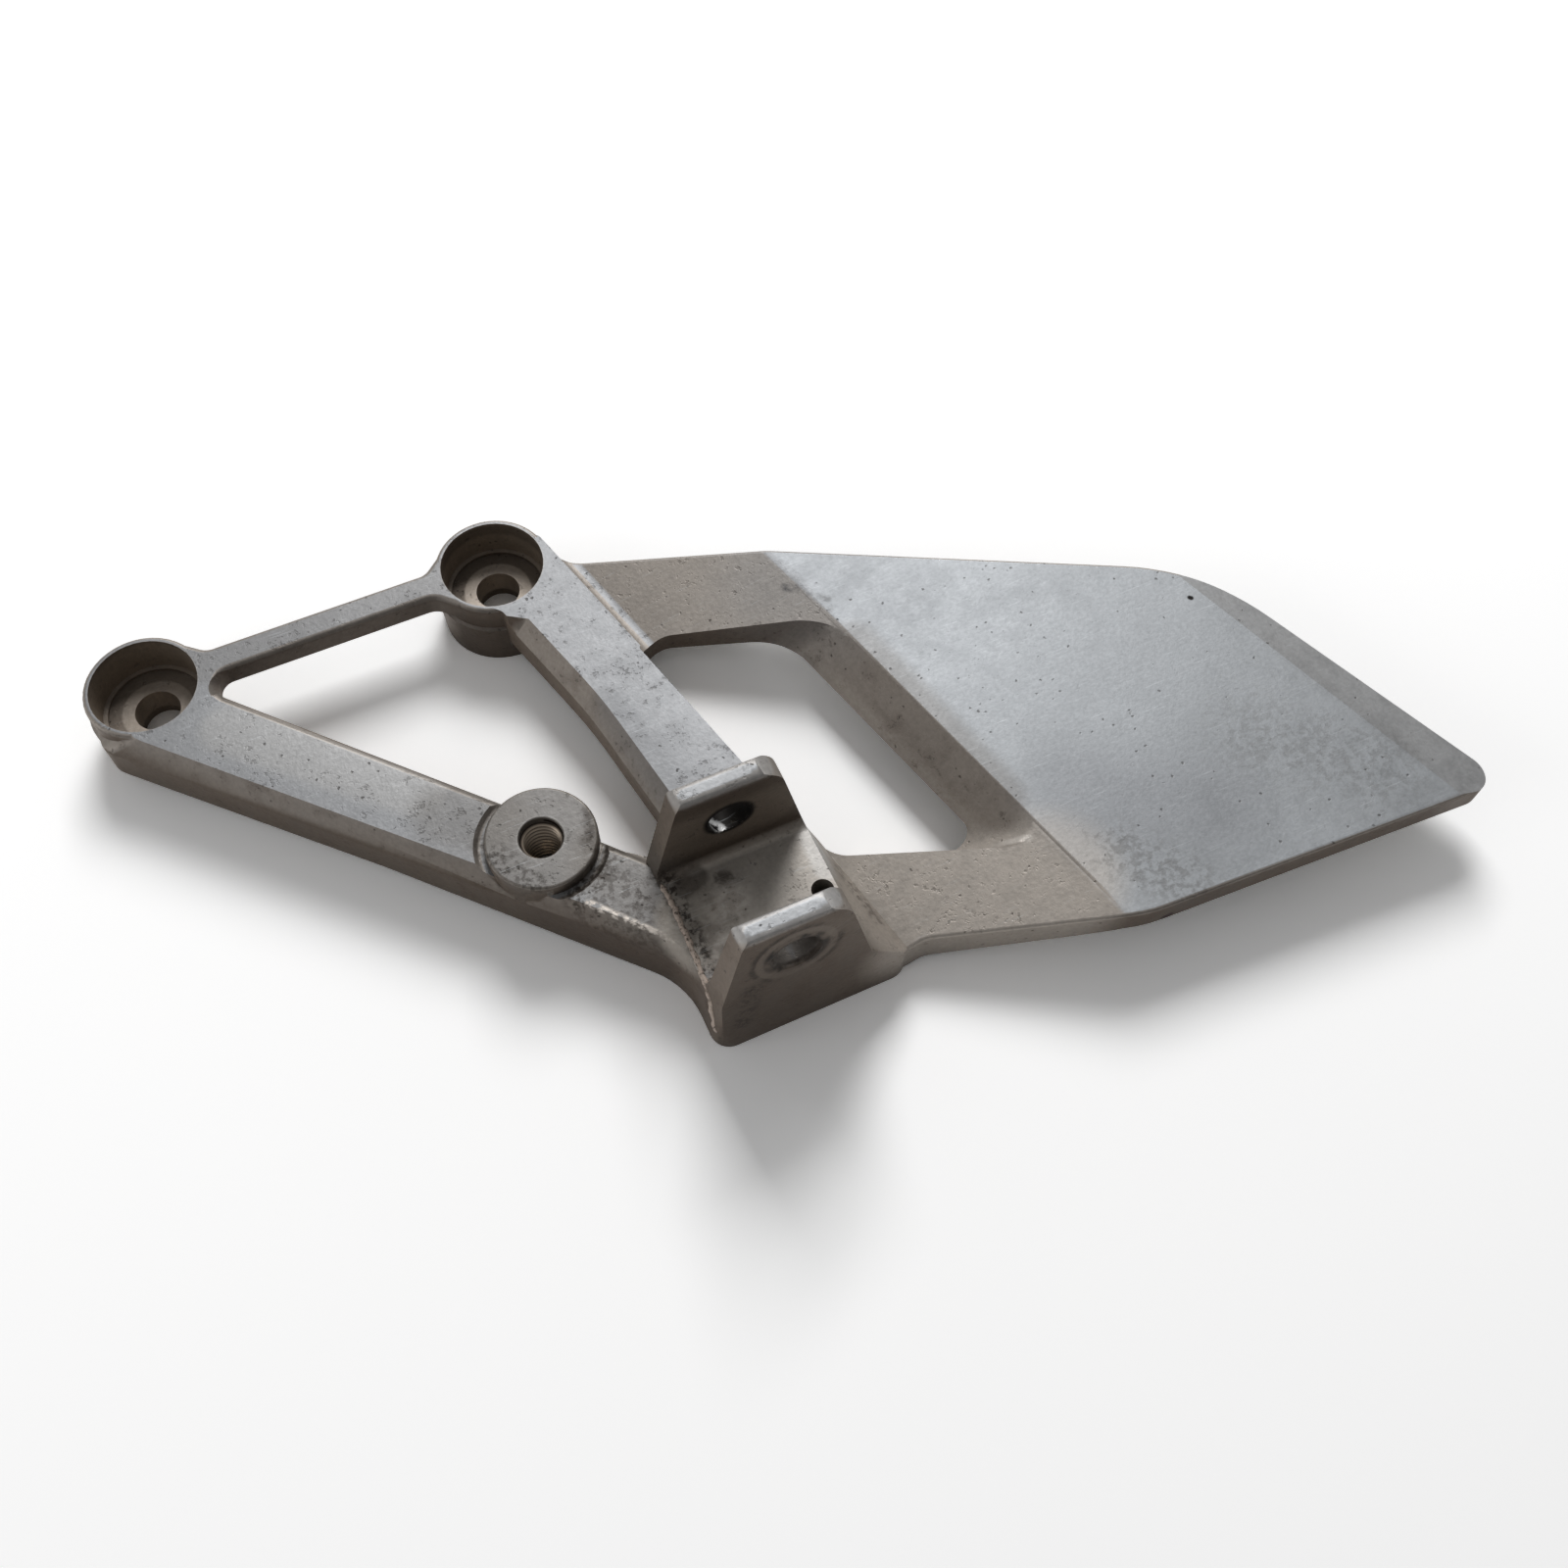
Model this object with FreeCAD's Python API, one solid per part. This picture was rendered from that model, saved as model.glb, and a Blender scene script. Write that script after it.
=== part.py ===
import FreeCAD, Part
import math
import os

# Motorcycle footrest hanger: one aluminium casting with two bolt lugs, a
# threaded boss, a forked pivot for the footrest and a heel plate on two arms.
# X runs from the first bolt to the second, Z is the bolt axis and points away
# from the motorcycle, and the footrest pin lies along Y. The origin is the
# first bolt hole at the rear seating plane. All sizes are in millimetres.

# Bolt lugs
bolt_spacing = 70.0
lug_height = 16.0
lug_wall = 1.2
lug_edge_round = 0.9
parting_height = 10.0
parting_ledge = 0.4
parting_step = 0.6
lug_foot_draft = 0.3
counterbore_radius = 10.2
counterbore_depth = 8.4
seat_step = 0.9
seat_depth = 0.6
bolt_hole_radius = 4.4

# Tie bar between the lugs
tie_width = 5.4
tie_depth = 4.6
tie_edge_round = 1.2
tie_blend = 4.0
tie_corner_round = 3.0

# Long bar from the first lug to the fork
long_depth = 11.6
long_near_bevel = 2.8
long_near_drop = 4.6
long_fork_bevel = 1.9
long_bevel_start = 6.0
long_fork_round = 16.0
long_window_bevel = 2.0
long_window_round = 4.0
long_tie_bevel = 0.3
long_tie_fade = 15.0
long_window_offset = 4.6
long_near_offset = 13.4
long_shoulder_round = 5.0
long_keel_start = 56.0
long_near_reach = 13.5
long_near_setback = 1.7
long_window_reach = 4.0
long_window_setback = 2.6
long_foot_reach = 2.6
long_shoulder_overlap = 2.0
long_window_start = 4.0

# Middle bar from the second lug to the fork
mid_depth = 10.0
mid_bevel = 3.0
mid_drop = 3.9
mid_bevel_start = 1.5
mid_bevel_ramp = 2.5
mid_right_offset = 11.65
mid_right_start = 2.8
mid_right_reach = 12.3
mid_left_offset = -2.0
mid_left_reach = -6.5
mid_root_reach = 4.0
mid_root_rise = 1.8
mid_root_round = 2.5
mid_waist_run = 27.6
mid_waist_bow = 1.7
mid_waist_round = 110.0

# Threaded boss on the long bar
boss_x = 57.2
boss_y = -62.2
boss_radius = 10.35
boss_rise = 2.0
boss_draft = 0.2
boss_foot_height = 2.6
boss_edge_round = 0.6
moat_depth = 1.6
moat_floor_width = 1.0
moat_bank_width = 0.9
moat_corner_round = 1.0
thread_radius = 4.0
thread_mouth_bevel = 0.35

# Forked pivot
pin_x = 87.6
pin_height = 28.5
pin_hole_radius = 4.1
pin_hole_bevel = 0.8
fork_gap = 23.0
fork_centre_y = -89.0
ear_top = 39.0
ear_thickness = 4.3
ear_base_half_width = 14.6
ear_top_half_width = 9.4
ear_left_round = 2.6
ear_right_round = 6.5
ear_edge_round = 1.5
fork_fillet = 2.2
fork_front_draft = 1.9
fork_left_draft = 0.7
fork_right_draft = 0.6
fork_corner_round = 3.7

# Buttress that leans from the fork to the lower arm
buttress_back_reach = 2.8
buttress_front_reach = 8.4
buttress_back_inset = 1.5
buttress_foot_draft = 1.5
buttress_corner_round = 4.0
buttress_arm_reach = 2.0
buttress_arm_round = 6.0
buttress_arm_inset = 1.0

# Hole for the return spring
spring_hole_radius = 2.1
spring_hole_depth = 12.0
spring_hole_inset = 2.7
spring_hole_setback = 2.6

# Heel plate and its arms
crease_x = 120.85
crease_y = -18.4
crease_lean = 0.26
crease_round = 6.0
arm_run = 31.5
arm_start_height = 8.2
upper_arm_foot = 4.3
lower_arm_foot = 0.2
arm_knee = 7.0
arm_belly_end = 27.5
arm_overlap = 6.0
arm_split = 45.0
arm_root_drop = 0.8
arm_root_ledge = 0.5
arm_root_fillet = 4.0
arm_root_strip = 7.0
arm_root_height = 4.56
arm_root_round = 5.0
plate_thickness = 5.5
plate_edge_round = 0.8
outer_edge_slope = -0.510
lower_edge_slope = -0.4104
upper_window_slope = -0.435
lower_window_slope = -0.49
heel_slope = -0.053
end_lean = 0.41
lower_arm_reach = 5.0
lower_arm_setback = 2.3
shoulder_x = 200.2
shoulder_round = 44.0
tip_y = -122.5
tip_round = 4.6
heel_corner_round = 30.0

# Window between the arms
window_bevel_slope = 0.836
window_root_round = 6.0
window_top_round = 13.0
window_heel_round = 3.0
window_heel_foot_round = 7.0
window_fork_round = 8.0
upper_arm_width = 16.55
lower_arm_width = 16.8
window_bar_inset = 0.5
window_fork_inset = 0.4

# Bent rim of the heel plate
rim_drop_slope = 0.16
rim_width = 10.0
rim_narrowing = 0.07

# How far cutting tools and hidden ends run past the faces they meet
overrun = 1.0
hidden_end = 6.0
window_overrun = 0.2


def vec(x, y, z):
    return FreeCAD.Vector(x, y, z)


def flat(height):
    return lambda u, v: vec(u, v, height)


def across(y):
    return lambda u, v: vec(u, y, v)


def along(x):
    return lambda u, v: vec(x, u, v)


def rounded_corner(before, corner, after, radius):
    back = (before - corner).normalize()
    ahead = (after - corner).normalize()
    half = math.acos(max(-1.0, min(1.0, back.dot(ahead)))) / 2.0
    first = corner + back * (radius / math.tan(half))
    last = corner + ahead * (radius / math.tan(half))
    inward = (back + ahead).normalize()
    middle = corner + inward * (radius / math.sin(half) - radius)
    return first, middle, last


def outline(points, place):
    # Closed wire through the corners; a corner (u, v, radius) gets an arc.
    corners = [place(p[0], p[1]) for p in points]
    edges = []
    ends = []
    for i, point in enumerate(points):
        corner = corners[i]
        if len(point) == 2:
            ends.append((corner, corner, None))
            continue
        after = corners[(i + 1) % len(corners)]
        first, middle, last = rounded_corner(corners[i - 1], corner, after, point[2])
        ends.append((first, last, Part.Arc(first, middle, last).toShape()))
    for i, (first, last, arc) in enumerate(ends):
        if arc is not None:
            edges.append(arc)
        following = ends[(i + 1) % len(ends)][0]
        if (following - last).Length > 1e-6:
            edges.append(Part.LineSegment(last, following).toShape())
    return Part.Wire(edges)


def prism(points, place, sweep):
    return Part.Face(outline(points, place)).extrude(sweep)


def between(plan, low, high):
    # Solid whose plan changes evenly from one height to the other.
    return Part.makeLoft([outline(plan(low), flat(low)), outline(plan(high), flat(high))], True, True)


def turned(points, x, y):
    # Solid of revolution about a vertical axis from (radius, height) corners.
    face = Part.Face(outline(points, across(0.0)))
    solid = face.revolve(vec(0, 0, 0), vec(0, 0, 1), 360)
    solid.translate(vec(x, y, 0))
    return solid


def crossing(x1, y1, slope1, x2, y2, slope2):
    # Where two plan lines meet, each given by a point and its slope.
    x = (y2 - y1 + slope1 * x1 - slope2 * x2) / (slope1 - slope2)
    return x, y1 + slope1 * (x - x1)


def tangent_line(end, offset):
    # Direction, side normal and length of the line that passes the first bolt
    # axis at the offset and ends at the point; a negative offset is the far side.
    distance = math.hypot(end[0], end[1])
    angle = math.atan2(end[1], end[0]) + math.asin(offset / distance)
    direction = vec(math.cos(angle), math.sin(angle), 0)
    normal = vec(math.sin(angle), -math.cos(angle), 0)
    return direction, normal, math.sqrt(distance ** 2 - offset ** 2)


# Places worked out from the sizes
lug_radius = counterbore_radius + lug_wall
lug_foot_radius = lug_radius + parting_step
seat_radius = counterbore_radius - seat_step
fork_floor = lug_height
fork_back = fork_centre_y + fork_gap / 2.0 + ear_thickness
fork_front = fork_centre_y - fork_gap / 2.0 - ear_thickness
fork_left = pin_x - ear_base_half_width
fork_right = pin_x + ear_base_half_width
near_end = (fork_left - long_near_setback, fork_front + long_near_reach)
window_end = (fork_left - long_window_setback, fork_back + long_window_reach)
near_dir, near_normal, near_length = tangent_line(near_end, long_near_offset)
window_dir, window_normal, window_length = tangent_line(window_end, -long_window_offset)
crease_dir = vec(crease_lean, -1.0, 0).normalize()
crease_normal = vec(1.0, crease_lean, 0).normalize()
crease_start = vec(crease_x, crease_y, 0)
arm_slope = (lug_height - arm_start_height) / arm_run
buttress_back = fork_centre_y + fork_gap / 2.0 - buttress_back_inset
buttress_front = fork_front - fork_front_draft


def lug(x, y):
    points = [
        (0.0, 0.0),
        (lug_foot_radius - lug_foot_draft, 0.0),
        (lug_foot_radius, parting_height),
        (lug_radius, parting_height + parting_ledge),
        (lug_radius, lug_height, lug_edge_round),
        (0.0, lug_height),
    ]
    return turned(points, x, y)


def lug_drilling(x, y):
    # Bolt hole, washer seat and counterbore as one stepped tool.
    floor = lug_height - counterbore_depth
    points = [
        (0.0, -overrun),
        (bolt_hole_radius, -overrun),
        (bolt_hole_radius, floor - seat_depth),
        (seat_radius, floor - seat_depth),
        (seat_radius, floor),
        (counterbore_radius, floor),
        (counterbore_radius, lug_height + overrun),
        (0.0, lug_height + overrun),
    ]
    return turned(points, x, y)


def frame_corner(inset, tie_inset):
    # Where the tie bar's lower side meets the long bar's window side in plan.
    y = tie_inset - tie_width / 2.0
    x = (inset - long_window_offset - window_normal.y * y) / window_normal.x
    return vec(x, y, 0)


def tie_bar():
    half = tie_width / 2.0
    flare = half + tie_blend
    reach = math.sqrt(lug_radius ** 2 - flare ** 2)
    left = reach + tie_blend
    right = bolt_spacing - left
    corner = frame_corner(0.0, 0.0)
    low = corner + window_dir * (3.0 * tie_corner_round)
    inside = low + window_normal * long_window_offset
    points = [
        (reach - overrun, -half),
        (inside.x, inside.y),
        (low.x, low.y),
        (corner.x, corner.y, tie_corner_round),
        (right, -half, tie_blend),
        (right + tie_blend + overrun, -flare - overrun),
        (right + tie_blend + overrun, flare + overrun),
        (right, half, tie_blend),
        (left, half, tie_blend),
        (reach - overrun, flare + overrun),
    ]
    bar = prism(points, flat(lug_height - tie_depth), vec(0, 0, tie_depth))
    middle = [e for e in top_edges(bar) if e.BoundBox.XMin > left - tie_blend
              and e.BoundBox.XMax < right + tie_blend]
    return bar.makeFillet(tie_edge_round, middle)


def top_edges(bar):
    return [e for e in bar.Edges if e.BoundBox.ZMin > lug_height - 0.01]


def long_plan(height):
    # The near side steps in above the foot of its bevel, which narrows towards
    # the fork, and the blend into the fork follows the fork's leaning wall.
    share = max(0.0, 1.0 - (lug_height - height) / long_near_drop)
    near_reach = long_near_offset - long_near_bevel * share
    shoulder = near_normal * near_reach + near_dir * (long_bevel_start * share - long_shoulder_overlap)
    wall_x = fork_left - fork_left_draft * (1.0 - height / fork_floor)
    fork_reach = long_near_offset - long_fork_bevel * share
    blend_y = (fork_reach - near_normal.x * wall_x) / near_normal.y
    window_start = window_normal * -long_window_offset + window_dir * long_window_start
    return [
        (shoulder.x, shoulder.y, long_shoulder_round),
        (wall_x, blend_y, long_fork_round),
        (wall_x, fork_front + fork_corner_round),
        (fork_left + hidden_end, fork_front + fork_corner_round),
        (fork_left + hidden_end, fork_back - 2.0 * overrun),
        (fork_left + long_foot_reach, fork_back),
        window_end,
        (window_start.x, window_start.y),
        (shoulder.x, -overrun),
    ]


def long_bar():
    bevel_foot = lug_height - long_near_drop
    bar = between(long_plan, 0.0, bevel_foot).fuse(between(long_plan, bevel_foot, lug_height))
    belly = lug_height - long_depth
    keel = [
        (-bolt_spacing, -overrun),
        (-bolt_spacing, belly),
        (long_keel_start, belly),
        (near_length, 0.0),
        (near_length, -overrun),
    ]
    side = near_normal * bolt_spacing
    hollow = prism(keel, lambda u, v: near_dir * u + side + vec(0, 0, v), side * -2.0)
    return bar.cut(hollow)


def frame_bevel():
    # Takes the bevel off the long bar's window side and off the corner at the
    # tie bar, along which it fades out.
    def plan(height):
        share = 1.0 - (lug_height - height) / long_window_bevel
        corner = frame_corner(long_window_bevel * share, long_tie_bevel * share)
        side = window_normal * (long_window_bevel * share - long_window_offset)
        far = side + window_dir * (window_length + hidden_end)
        clear = far - window_normal * hidden_end
        corner_round = tie_corner_round + (long_window_round - tie_corner_round) * share
        return [
            (corner.x, corner.y, corner_round),
            (far.x, far.y),
            (clear.x, clear.y),
            (lug_radius + long_tie_fade, -tie_width / 2.0),
        ]

    return between(plan, lug_height - long_window_bevel, lug_height + window_overrun)


def middle_plan(height):
    # The left side steps in above the foot of its bevel, which starts with a
    # short ramp below the lug.
    inset = mid_bevel * max(0.0, 1.0 - (lug_height - height) / mid_drop)
    lean = (pin_x + mid_right_reach - bolt_spacing - mid_right_offset) / fork_back
    right_foot = pin_x + mid_right_reach
    left_foot = vec(pin_x + mid_left_reach, fork_back, 0)
    root = vec(bolt_spacing + mid_left_offset, -lug_radius, 0)
    run = (left_foot - root).normalize()
    waist = root + run * mid_waist_run + vec(-run.y, run.x, 0) * mid_waist_bow
    side = (waist - root).normalize()
    start = root + side * mid_bevel_start
    ramp_end = start + side * mid_bevel_ramp
    return [
        (bolt_spacing + mid_right_offset + lean * mid_right_start, mid_right_start),
        (right_foot, fork_back),
        (right_foot, fork_back - overrun),
        (left_foot.x + inset, fork_back - overrun),
        (left_foot.x + inset, fork_back),
        (waist.x + inset, waist.y, mid_waist_round),
        (ramp_end.x + inset, ramp_end.y),
        (start.x, start.y),
        (root.x, root.y, mid_root_round),
        (bolt_spacing - mid_root_reach, mid_root_rise - lug_radius),
        (bolt_spacing - mid_root_reach, mid_right_start),
    ]


def middle_bar():
    bevel_foot = lug_height - mid_drop
    low = between(middle_plan, lug_height - mid_depth, bevel_foot)
    return low.fuse(between(middle_plan, bevel_foot, lug_height))


def boss():
    top = lug_height + boss_rise
    points = [
        (0.0, boss_foot_height),
        (boss_radius + boss_draft, boss_foot_height),
        (boss_radius, top, boss_edge_round),
        (0.0, top),
    ]
    return turned(points, boss_x, boss_y)


def moat():
    # Spot face that lowers the bar around the boss.
    floor_radius = boss_radius + boss_draft + moat_floor_width
    points = [
        (0.0, lug_height - moat_depth),
        (floor_radius, lug_height - moat_depth, moat_corner_round),
        (floor_radius + 2.0 * moat_bank_width, lug_height + moat_depth),
        (0.0, lug_height + moat_depth),
    ]
    return turned(points, boss_x, boss_y)


def thread_drilling():
    top = lug_height + boss_rise
    points = [
        (0.0, -overrun),
        (thread_radius, -overrun),
        (thread_radius, top - thread_mouth_bevel),
        (thread_radius + 2.0 * thread_mouth_bevel, top + thread_mouth_bevel),
        (0.0, top + thread_mouth_bevel),
    ]
    return turned(points, boss_x, boss_y)


def fork():
    # The side view and the front view of the fork, each swept through, and
    # what they have in common.
    inner_front = fork_centre_y - fork_gap / 2.0
    inner_back = fork_centre_y + fork_gap / 2.0
    side_view = [
        (fork_front - fork_front_draft, 0.0),
        (fork_front, ear_top, ear_edge_round),
        (inner_front, ear_top, ear_edge_round),
        (inner_front, fork_floor, fork_fillet),
        (inner_back, fork_floor, fork_fillet),
        (inner_back, ear_top, ear_edge_round),
        (fork_back, ear_top, ear_edge_round),
        (fork_back, 0.0),
    ]
    front_view = [
        (fork_left - fork_left_draft, 0.0),
        (fork_left, fork_floor),
        (pin_x - ear_top_half_width, ear_top, ear_left_round),
        (pin_x + ear_top_half_width, ear_top, ear_right_round),
        (fork_right, fork_floor),
        (fork_right + fork_right_draft, 0.0),
    ]
    start = fork_left - hidden_end
    front = fork_front - hidden_end
    sideways = prism(side_view, along(start), vec(fork_right + hidden_end - start, 0, 0))
    lengthways = prism(front_view, across(front), vec(0, fork_back + hidden_end - front, 0))
    plan = [
        (fork_left - fork_left_draft, fork_front - fork_front_draft, fork_corner_round),
        (fork_right + fork_right_draft, fork_front - fork_front_draft),
        (fork_right + fork_right_draft, fork_back),
        (fork_left - fork_left_draft, fork_back),
    ]
    return sideways.common(lengthways).common(prism(plan, flat(0.0), vec(0, 0, ear_top)))


def pin_drilling():
    start = fork_front - hidden_end
    length = fork_back + hidden_end - start
    hole = Part.makeCylinder(pin_hole_radius, length, vec(pin_x, start, pin_height), vec(0, 1, 0))
    face = fork_front - fork_front_draft * (1.0 - pin_height / ear_top)
    deep = pin_hole_bevel + overrun
    mouth = Part.makeCone(pin_hole_radius + deep, pin_hole_radius, deep,
                          vec(pin_x, face - overrun, pin_height), vec(0, 1, 0))
    return hole.fuse(mouth)


def buttress():
    def section(y, reach):
        points = [
            (pin_x, 0.0),
            (fork_right + reach + buttress_foot_draft, 0.0),
            (fork_right + reach, arm_start_height),
            (fork_right, fork_floor),
            (pin_x, fork_floor),
        ]
        return outline(points, across(y))

    body = Part.makeLoft([
        section(buttress_back, buttress_back_reach),
        section(buttress_front, buttress_front_reach),
    ], True, True)
    plan = [
        (pin_x, buttress_back),
        (fork_right + buttress_foot_draft + buttress_back_reach, buttress_back),
        (fork_right + buttress_foot_draft + buttress_front_reach, buttress_front, buttress_corner_round),
        (pin_x, buttress_front),
    ]
    lean = [
        (buttress_back, 0.0),
        (buttress_back, fork_floor),
        (fork_front - fork_front_draft * (1.0 - fork_floor / ear_top), fork_floor),
        (buttress_front, 0.0),
    ]
    body = body.common(prism(plan, flat(0.0), vec(0, 0, fork_floor)))
    return body.common(prism(lean, along(pin_x), vec(bolt_spacing, 0, 0)))


def spring_drilling():
    x = fork_right - spring_hole_inset
    y = fork_centre_y - spring_hole_setback
    foot = vec(x, y, fork_floor - spring_hole_depth)
    return Part.makeCylinder(spring_hole_radius, spring_hole_depth + overrun, foot)


def arm_section(foot, place):
    # Height profile square to the crease, from inside the bars to past the tip.
    plate_foot = lug_height - plate_thickness
    belly = plate_foot - lower_arm_foot
    root = -arm_run - arm_overlap
    points = [
        (root, foot),
        (-arm_run, foot),
        (-arm_knee, plate_foot - belly * arm_knee / arm_belly_end),
        (0.0, plate_foot),
        (shoulder_x, plate_foot),
        (shoulder_x, lug_height),
        (0.0, lug_height, crease_round),
        (root, lug_height + root * arm_slope),
    ]
    return outline(points, place)


def upper_and_lower_arms():
    def strip(foot, start, length):
        base = crease_start + crease_dir * start
        face = Part.Face(arm_section(foot, lambda u, v: base + crease_normal * u + vec(0, 0, v)))
        return face.extrude(crease_dir * length)

    upper = strip(upper_arm_foot, -arm_split, 2.0 * arm_split)
    lower = strip(lower_arm_foot, arm_split, 2.0 * arm_split)
    return upper.fuse(lower).removeSplitter()


def arm_root():
    # Concave strip where the upper arm meets the middle bar.
    bar_side = vec(bolt_spacing + mid_right_offset + arm_root_ledge, 0.0, 0) - crease_start
    wall = bar_side.dot(crease_normal)
    top = lug_height - arm_root_drop
    start = crease_start - crease_dir * arm_split
    foot = lug_height + wall * arm_slope
    points = [
        (wall - hidden_end, foot - overrun),
        (wall - hidden_end, top),
        (wall, top),
        (wall, foot, arm_root_fillet),
        (wall + arm_root_strip, foot + arm_root_strip * arm_slope),
        (wall + arm_root_strip, foot - overrun),
    ]
    sweep = crease_dir * (2.0 * arm_split)
    return prism(points, lambda u, v: start + crease_normal * u + vec(0, 0, v), sweep)


def plate_plan():
    # Plan of the arms and the heel plate together, without the window.
    shoulder = (shoulder_x, crease_y + outer_edge_slope * (shoulder_x - crease_x))
    tip = crossing(shoulder[0], shoulder[1], -1.0 / end_lean, shoulder_x, tip_y, heel_slope)
    arm_foot = (fork_right + lower_arm_reach, fork_front + lower_arm_setback)
    wall_x = fork_right + buttress_foot_draft + buttress_front_reach
    blend_x = wall_x + buttress_arm_reach
    heel = crossing(arm_foot[0], arm_foot[1], lower_edge_slope, shoulder_x, tip_y, heel_slope)
    root_x = bolt_spacing + mid_right_offset
    corner_x = root_x + arm_root_fillet
    corner_y = crease_y + outer_edge_slope * (corner_x - crease_x)
    return [
        (root_x - hidden_end, -hidden_end),
        (root_x - hidden_end, arm_root_height),
        (root_x - parting_ledge * 4.0, arm_root_height),
        (corner_x, corner_y, arm_root_round),
        (shoulder[0], shoulder[1], shoulder_round),
        (tip[0], tip[1], tip_round),
        (heel[0], heel[1], heel_corner_round),
        (blend_x, arm_foot[1] + lower_edge_slope * (blend_x - arm_foot[0]), buttress_arm_round),
        (wall_x - buttress_corner_round, buttress_front + buttress_arm_inset),
        (pin_x + hidden_end, fork_front + hidden_end),
        (pin_x + hidden_end, fork_back),
    ]


def window_plan(height):
    # The plate side of the window leans, so its edge moves with the height.
    shift = (height - lug_height) * window_bevel_slope
    edge = crease_start + crease_normal * shift
    edge_slope = -1.0 / crease_lean
    bar_x = bolt_spacing + mid_right_offset - window_bar_inset
    bar_foot = pin_x + mid_right_reach - window_bar_inset
    bar_slope = fork_back / (bar_foot - bar_x)
    upper_y = crease_y - upper_arm_width / math.cos(math.atan(upper_window_slope))
    rise = lower_arm_width / math.cos(math.atan(lower_window_slope))
    heel_share = height / lug_height
    heel_round = window_heel_foot_round + (window_heel_round - window_heel_foot_round) * heel_share
    lower_x = fork_right + lower_arm_reach
    lower_y = fork_front + lower_arm_setback + rise
    fork_x = fork_right - window_fork_inset
    lean = (buttress_front - buttress_back) / (buttress_front_reach - buttress_back_reach)
    foot_x = fork_right + buttress_back_reach - window_fork_inset
    first = crossing(bar_x, 0.0, bar_slope, crease_x, upper_y, upper_window_slope)
    second = crossing(edge.x, edge.y, edge_slope, crease_x, upper_y, upper_window_slope)
    third = crossing(edge.x, edge.y, edge_slope, lower_x, lower_y, lower_window_slope)
    fourth = crossing(lower_x, lower_y, lower_window_slope, foot_x, buttress_back, lean)
    return [
        (first[0], first[1], window_root_round),
        (second[0], second[1], window_top_round),
        (third[0], third[1], heel_round),
        (fourth[0], fourth[1], window_fork_round),
        (foot_x, buttress_back),
        (fork_x, buttress_back),
        (bar_foot, fork_back - overrun),
    ]


def window():
    top = lug_height + window_overrun
    foot = -window_overrun
    return between(window_plan, foot, top)


def rim_relief():
    # Wedge that bends the far rim of the plate down.
    shoulder_y = crease_y + outer_edge_slope * (shoulder_x - crease_x)
    tip_x = shoulder_x - (tip_y - shoulder_y) * end_lean
    line = vec(end_lean - rim_narrowing, -1.0, 0).normalize()
    outward = vec(1.0, end_lean - rim_narrowing, 0).normalize()
    start = vec(tip_x - rim_width, tip_y, 0) - line * bolt_spacing * 2.0
    reach = 3.0 * rim_width
    points = [
        (0.0, lug_height),
        (reach, lug_height - reach * rim_drop_slope),
        (reach, lug_height + hidden_end),
        (0.0, lug_height + hidden_end),
    ]
    return prism(points, lambda u, v: start + outward * u + vec(0, 0, v), line * bolt_spacing * 3.0)


def rim_edges(sheet):
    # Top edges along the outside of the plate and the arms.
    plan = outline(plate_plan(), flat(0.0))
    found = []
    for edge in sheet.Edges:
        middle = edge.valueAt((edge.FirstParameter + edge.LastParameter) / 2.0)
        reach = (middle - crease_start).dot(crease_normal)
        top = lug_height + min(0.0, reach) * arm_slope
        outside = Part.Vertex(middle.x, middle.y, 0.0).distToShape(plan)[0] < 0.01
        upright = edge.BoundBox.ZLength > edge.Length * 0.5
        upper = middle.z > top - plate_thickness / 2.0
        if outside and upper and not upright and middle.x > fork_right + lower_arm_reach:
            found.append(edge)
    return found


def heel_plate():
    tall = prism(plate_plan(), flat(-overrun), vec(0, 0, lug_height + 2.0 * overrun))
    sheet = upper_and_lower_arms().fuse(arm_root()).common(tall)
    sheet = sheet.makeFillet(plate_edge_round, rim_edges(sheet))
    return sheet.cut(rim_relief()).cut(window())


def hanger_casting():
    frame = long_bar().fuse(tie_bar()).cut([moat(), frame_bevel()])
    solid = lug(0.0, 0.0).fuse([
        lug(bolt_spacing, 0.0),
        frame,
        middle_bar(),
        boss(),
        fork(),
        buttress(),
        heel_plate(),
    ])
    tools = [
        lug_drilling(0.0, 0.0),
        lug_drilling(bolt_spacing, 0.0),
        thread_drilling(),
        pin_drilling(),
        spring_drilling(),
    ]
    return solid.cut(tools).removeSplitter()


def main():
    os.makedirs("parts", exist_ok=True)
    casting = hanger_casting()
    casting.exportStep("parts/hanger_casting.step")
    box = casting.BoundBox
    print("solids", len(casting.Solids), "valid", casting.isValid())
    print("volume", round(casting.Volume), "box", box)


main()
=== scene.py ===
import math

import bmesh
import bpy
import numpy as np
from mathutils import Matrix


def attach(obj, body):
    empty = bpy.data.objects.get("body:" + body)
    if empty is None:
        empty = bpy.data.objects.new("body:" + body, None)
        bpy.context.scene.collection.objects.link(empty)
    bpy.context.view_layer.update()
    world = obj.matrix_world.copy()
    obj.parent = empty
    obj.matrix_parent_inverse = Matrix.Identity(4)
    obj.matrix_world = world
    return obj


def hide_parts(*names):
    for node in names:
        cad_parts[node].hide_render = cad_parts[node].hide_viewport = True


# Motorcycle footrest hanger: a worn one-piece aluminium casting that lies on a pale table.
# Everything is in metres in the frame of the CAD model; values in millimetres say so.

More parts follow.
